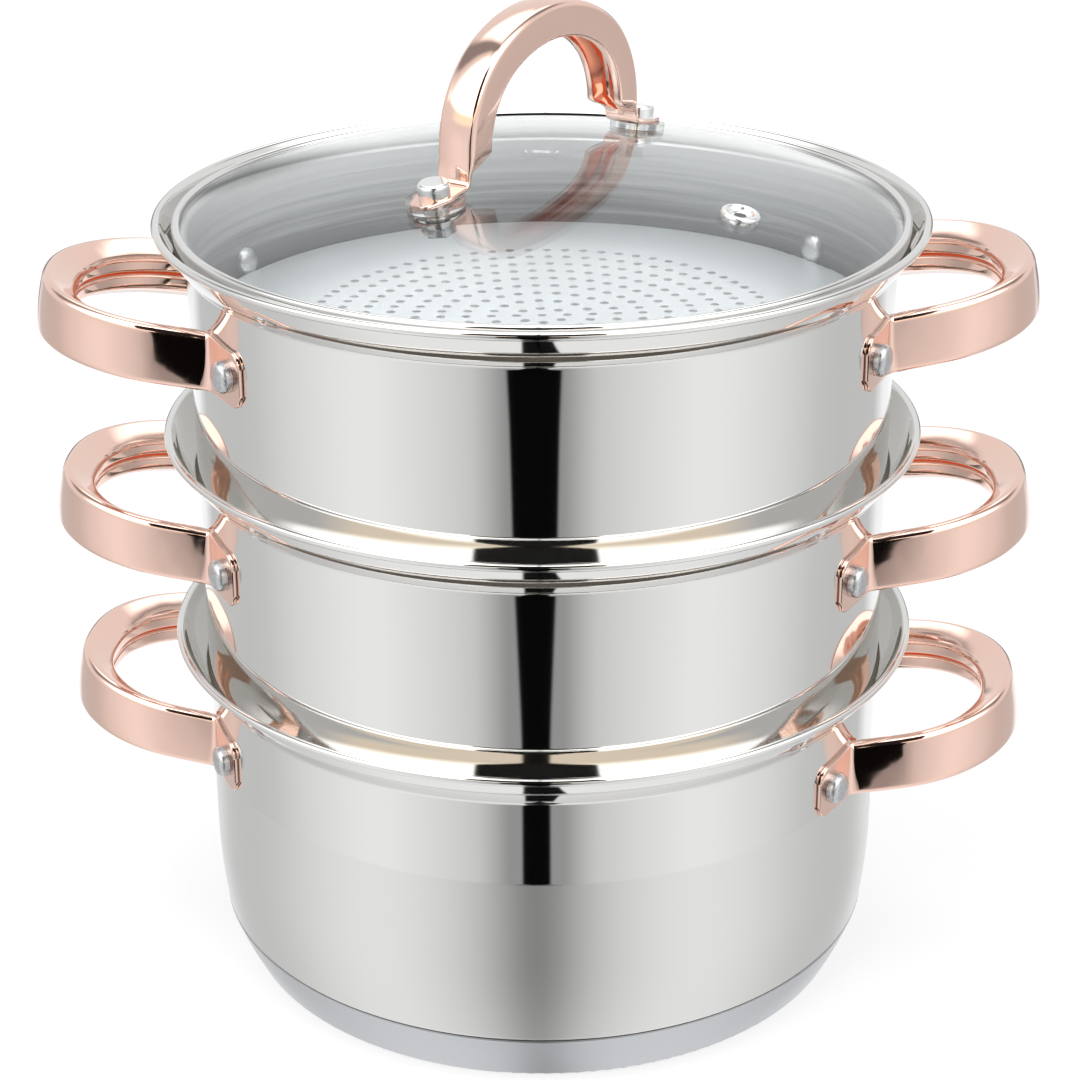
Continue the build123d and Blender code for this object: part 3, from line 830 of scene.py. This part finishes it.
vent_lean = asin(vent_radius / dome_radius)
out = Vector((cos(vent_turn) * sin(vent_lean), sin(vent_turn) * sin(vent_lean), cos(vent_lean)))
rim_middle = (vent_tube + vent_flange) / 2 + vent_rim * 0.1
vent_line = [(vent_bore, -vent_depth), (vent_bore, 0), (vent_bore + 0.0002, 0.0002), (vent_tube, 0.00035)]
vent_line += [
    (rim_middle - (vent_flange - rim_middle) * cos(a), vent_seat + vent_rim * 0.7 * sin(a))
    for a in (0.3, 0.7, 1.1, pi / 2, 2.0, 2.4, 2.8)
]
vent_line += [(vent_flange, vent_seat), (vent_flange, 0), (vent_tube, 0), (vent_tube, -vent_depth)]
mesh = bmesh.new()
spin_outline(mesh, vent_line + vent_line[:1], Vector((0, 0, dome_center)) + out * dome_radius, out, 64)
vent_steel = make_steel("vent_steel", vent_colour, vent_roughness)
finish_piece("vent_eyelet", mesh, vent_steel, "lid", "vent_steel", "vent_eyelet")
finish_node("vent_retainer", vent_steel)

# Setting. The set stands on a plain white floor in a white studio with one dark opening behind the
# camera. The walls are mirrors, so the studio is drawn as the steel shows it, by direction.
camera_place = Vector((0.0765, -0.7803, 0.4814))
camera_target = Vector((0.0, 0.0, 0.1388))
camera_lens = 86.98
camera_shift = -0.0027
camera_roll = radians(-0.21)
floor_size = 6.0
floor_grey = 0.9
floor_seen_white = 0.7

floor_mesh = bpy.data.meshes.new("floor")
half = floor_size / 2
floor_corners = [(-half, -half, 0), (half, -half, 0), (half, half, 0), (-half, half, 0)]
floor_mesh.from_pydata(floor_corners, [], [(0, 1, 2, 3)])
floor = bpy.data.objects.new("floor", floor_mesh)
bpy.context.scene.collection.objects.link(floor)
floor_paint, floor_tree, floor_shader = new_material("floor_paint")
floor_shader.inputs["Base Color"].default_value = (floor_grey, floor_grey, floor_grey, 1)
floor_shader.inputs["Roughness"].default_value = 0.9
floor_shader.inputs["Specular IOR Level"].default_value = 0.0
floor_white = add_node(floor_tree, "ShaderNodeEmission")
floor_mix = add_node(floor_tree, "ShaderNodeMixShader")
floor_path = add_node(floor_tree, "ShaderNodeLightPath")
floor_share = calc(floor_tree, "MULTIPLY", floor_path.outputs["Is Camera Ray"], floor_seen_white)
floor_tree.links.new(floor_share, floor_mix.inputs[0])
floor_tree.links.new(floor_shader.outputs[0], floor_mix.inputs[1])
floor_tree.links.new(floor_white.outputs[0], floor_mix.inputs[2])
floor_tree.links.new(floor_mix.outputs[0], floor_tree.nodes["Material Output"].inputs[0])
floor_mesh.materials.append(floor_paint)
floor.visible_glossy = False

# Brightness round and below the horizon, by the angle in degrees from the camera's side.
studio_turn = radians(2.5)
side_tones = (
    (0, 0.37), (9, 0.37), (11, 0.43), (14, 0.54), (17, 0.64), (20, 0.736), (26, 0.813), (32, 0.877),
    (41, 0.955), (52, 1.04), (60, 1.04), (68, 1.0), (85, 0.877), (95, 0.779), (103, 0.70), (115, 0.66),
    (140, 0.66), (150, 1.05), (180, 1.1),
)
side_tone_top = 1.2
# Half width in degrees of the dark opening, by the elevation in degrees.
opening_widths = (
    (-90, 0), (-68, 0), (-64, 5), (-52, 4.1), (-30, 4.1), (-26.5, 6.4), (-23.4, 7.2), (-20, 9.3),
    (0, 9.5), (10, 9.5), (14, 4), (19, 4), (22, 20), (50, 24), (62, 24), (66, 0),
)
opening_width_top = 30
opening_edge = 1.3
opening_tone = 0.008
# Bright and dark panels. Each has the four elevations of its soft edges and the angles where it ends.
ceiling_box = (19, 24, 78, 86)
ceiling_box_reach = (84, 104)
ceiling_box_tone = 1.75
warm_strip = (11, 15, 20, 24)
warm_reach = (58, 84)
warm_tint = (1.0, 0.88, 0.72)
warm_strip_tone = 0.55
back_box = (38, 46, 66, 76)
back_box_side = (135, 150)
back_box_tone = 1.1
back_dark = (-19, -15, 2, 9)
back_dark_side = (146, 156)
back_dark_end = (166, 172)
back_dark_depth = 0.7
side_dark = (24, 36, 84, 89)
side_dark_side = (104, 116)
side_dark_end = (134, 148)
side_dark_depth = 0.65
# The opening's foot, straight below: its half width and its height as parts of the direction.
floor_gap = (0.048, 0.058)
floor_gap_height = (-0.94, -0.91)
floor_fade = (-72, -40)
floor_tone = 1.02
sky_rise = (-5, 10)
sky_tone = 0.92
sky_tint = (0.985, 0.993, 1.0)


def ramp(tree, share, stops):
    """A ramp through stops of (share, grey)."""
    node = add_node(tree, "ShaderNodeValToRGB")
    elements = node.color_ramp.elements
    elements.remove(elements[1])
    for i, (position, tone) in enumerate(stops):
        stop = elements[0] if i == 0 else elements.new(position)
        stop.position = position
        stop.color = (tone, tone, tone, 1)
    tree.links.new(share, node.inputs[0])
    return node.outputs[0]


world = bpy.data.worlds.new("studio")
world.use_nodes = True
bpy.context.scene.world = world
tree = world.node_tree
turned = add_node(tree, "ShaderNodeVectorRotate", rotation_type="Z_AXIS")
turned.inputs["Angle"].default_value = studio_turn - atan2(camera_place.y, camera_place.x)
apart = add_node(tree, "ShaderNodeSeparateXYZ")
tree.links.new(add_node(tree, "ShaderNodeTexCoord").outputs["Generated"], turned.inputs["Vector"])
tree.links.new(turned.outputs[0], apart.inputs[0])
x, y, z = apart.outputs
angle = calc(tree, "DEGREES", calc(tree, "ABSOLUTE", calc(tree, "ARCTAN2", y, x)))
elevation = calc(tree, "DEGREES", calc(tree, "ARCSINE", z))
side = ramp(tree, calc(tree, "DIVIDE", angle, 180), [(a / 180, t / side_tone_top) for a, t in side_tones])
side = calc(tree, "MULTIPLY", side, side_tone_top)
off_floor = grade(tree, elevation, *floor_fade)
on_floor = calc(tree, "MULTIPLY_ADD", off_floor, -floor_tone, floor_tone)
side = calc(tree, "ADD", calc(tree, "MULTIPLY", side, off_floor), on_floor)
rise = grade(tree, elevation, *sky_rise)
tone = calc(tree, "MULTIPLY_ADD", calc(tree, "SUBTRACT", sky_tone, side), rise, side)


def strip_of(heights, sides, inside):
    """A soft-edged strip of the studio, between heights, that lies inside or past an angle."""
    over = grade(tree, elevation, *heights[:2])
    under = grade(tree, elevation, *heights[2:], 1.0, 0.0)
    shares = (1.0, 0.0) if inside else (0.0, 1.0)
    return calc(tree, "MULTIPLY", calc(tree, "MULTIPLY", over, under), grade(tree, angle, *sides, *shares))


warm = strip_of(warm_strip, warm_reach, True)
for share, added in (
    (strip_of(ceiling_box, ceiling_box_reach, True), ceiling_box_tone),
    (warm, warm_strip_tone),
    (strip_of(back_box, back_box_side, False), back_box_tone),
):
    tone = calc(tree, "MULTIPLY_ADD", share, added, tone)
for heights, start, end, depth in (
    (back_dark, back_dark_side, back_dark_end, back_dark_depth),
    (side_dark, side_dark_side, side_dark_end, side_dark_depth),
):
    dark = calc(tree, "MULTIPLY", strip_of(heights, start, False), grade(tree, angle, *end, 1.0, 0.0))
    tone = calc(tree, "MULTIPLY", tone, calc(tree, "MULTIPLY_ADD", dark, -depth, 1.0))
below = grade(tree, z, *floor_gap_height, 1.0, 0.0)
beside_gap = grade(tree, calc(tree, "ABSOLUTE", y), *floor_gap, 1.0 - opening_tone, 0.0)
gap = calc(tree, "MULTIPLY", below, beside_gap)
tone = calc(tree, "MULTIPLY", tone, calc(tree, "SUBTRACT", 1.0, gap))
height = calc(tree, "DIVIDE", calc(tree, "ADD", elevation, 90), 180)
width = ramp(tree, height, [((e + 90) / 180, w / opening_width_top) for e, w in opening_widths])
past = calc(tree, "MULTIPLY_ADD", width, -opening_width_top, angle)
clear = grade(tree, past, 0, opening_edge, opening_tone, 1.0)
tone = calc(tree, "MULTIPLY", tone, clear)
tinted = add_node(tree, "ShaderNodeVectorMath", operation="SCALE")
tree.links.new(blend_colours(tree, warm, sky_tint, warm_tint), tinted.inputs[0])
tree.links.new(tone, tinted.inputs["Scale"])
seen = add_node(tree, "ShaderNodeLightPath").outputs["Is Camera Ray"]
studio = blend_colours(tree, seen, tinted.outputs[0], (1.0, 1.0, 1.0))
tree.links.new(studio, tree.nodes["Background"].inputs["Color"])

# The soft lamp above the stack gives the floor its shadow. The steel doesn't show it.
lamp_place = Vector((-0.3, -0.4, 1.6))
lamp_target = Vector((0, 0, 0.15))
lamp_size = 1.2
lamp_power = 6

lamp_data = bpy.data.lights.new("soft_lamp", "AREA")
lamp_data.shape = "DISK"
lamp_data.size = lamp_size
lamp_data.energy = lamp_power
lamp = bpy.data.objects.new("soft_lamp", lamp_data)
lamp.location = lamp_place
lamp.rotation_euler = (lamp_target - lamp_place).to_track_quat("-Z", "Y").to_euler()
lamp.visible_glossy = False
bpy.context.scene.collection.objects.link(lamp)

camera_data = bpy.data.cameras.new("camera")
camera_data.lens = camera_lens
camera_data.sensor_width = 36
camera_data.shift_x = camera_shift
camera = bpy.data.objects.new("camera", camera_data)
camera.location = camera_place
look = (camera_target - camera_place).to_track_quat("-Z", "Y").to_matrix().to_4x4()
camera.rotation_euler = (look @ Matrix.Rotation(camera_roll, 4, "Z")).to_euler()
bpy.context.scene.collection.objects.link(camera)
bpy.context.scene.camera = camera
bpy.context.scene.view_settings.view_transform = "Standard"
